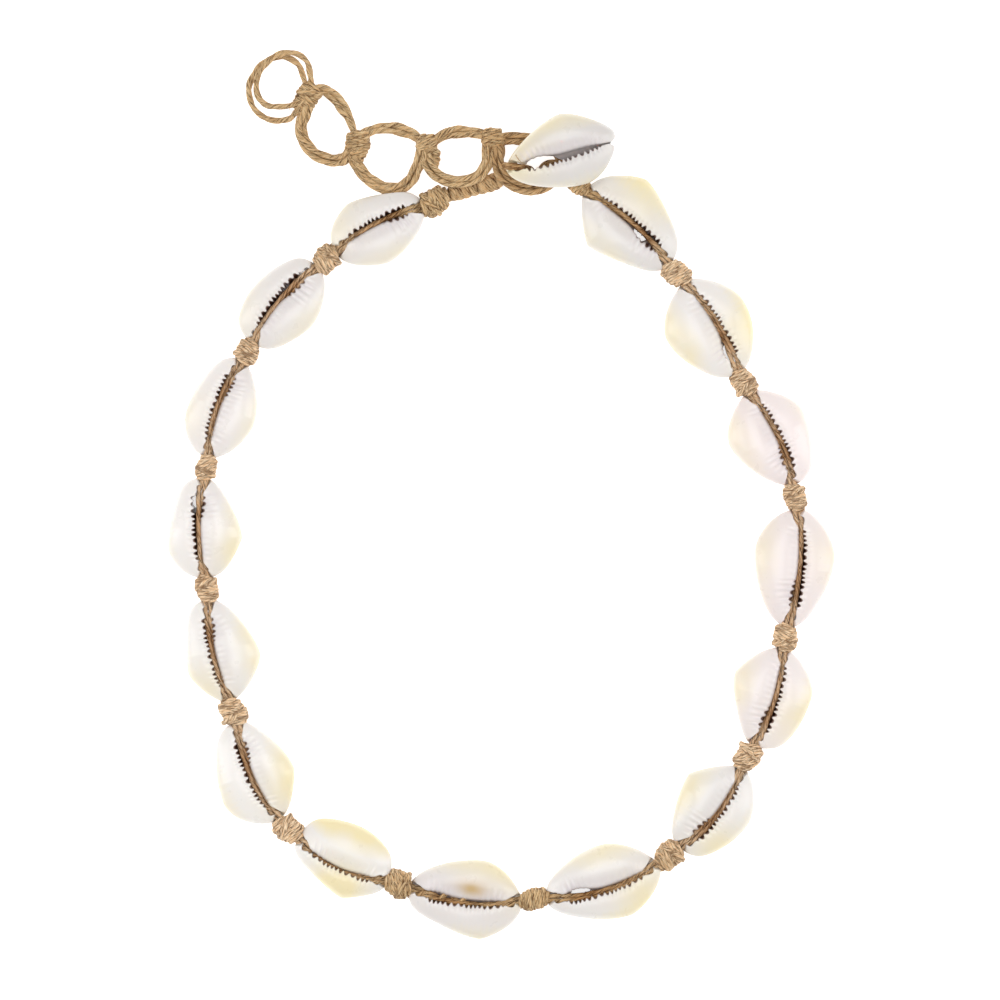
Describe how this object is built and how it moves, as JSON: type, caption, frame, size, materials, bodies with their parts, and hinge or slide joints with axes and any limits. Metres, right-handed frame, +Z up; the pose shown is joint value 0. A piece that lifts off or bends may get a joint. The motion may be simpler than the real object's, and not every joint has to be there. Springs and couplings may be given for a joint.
{
  "type": "cowrie shell necklace",
  "caption": "Choker of cut cowrie shells on knotted hemp cord, fastened by a shell toggle pushed through one loop of a knotted cord extender, lying flat.",
  "frame": {"origin": "middle of the outline, on the surface that the necklace lies on", "axes": "+Z up from the surface, +Y towards the clasp and the extender, +X to the right seen from above"},
  "size_m": [0.1332, 0.1777, 0.0124],
  "materials": {
    "shell": "polished natural shell, cream at the edges",
    "cord": "waxed natural hemp"
  },
  "bodies": {
    "root": {"shell_01": "shell", "shell_02": "shell", "shell_03": "shell", "shell_04": "shell", "shell_05": "shell", "shell_06": "shell", "shell_07": "shell", "shell_08": "shell", "shell_09": "shell", "shell_10": "shell", "shell_11": "shell", "shell_12": "shell", "shell_13": "shell", "shell_14": "shell", "shell_15": "shell", "toggle_shell": "shell", "string_cord": "cord", "knot_01": "cord", "knot_02": "cord", "knot_03": "cord", "knot_04": "cord", "knot_05": "cord", "knot_06": "cord", "knot_07": "cord", "knot_08": "cord", "knot_09": "cord", "knot_10": "cord", "knot_11": "cord", "knot_12": "cord", "knot_13": "cord", "knot_14": "cord", "knot_15": "cord", "knot_16": "cord", "wrapped_stem": "cord", "extender_knot_1": "cord", "extender_knot_2": "cord", "extender_knot_3": "cord", "extender_knot_4": "cord", "extender_loop_1_over": "cord", "extender_loop_1_under": "cord", "extender_loop_2_right": "cord", "extender_loop_2_left": "cord", "extender_loop_3_upper": "cord", "extender_loop_3_lower": "cord", "extender_loop_4_upper": "cord", "extender_loop_4_lower": "cord", "toggle_loop": "cord", "toggle_tie": "cord"}
  },
  "joints": []
}
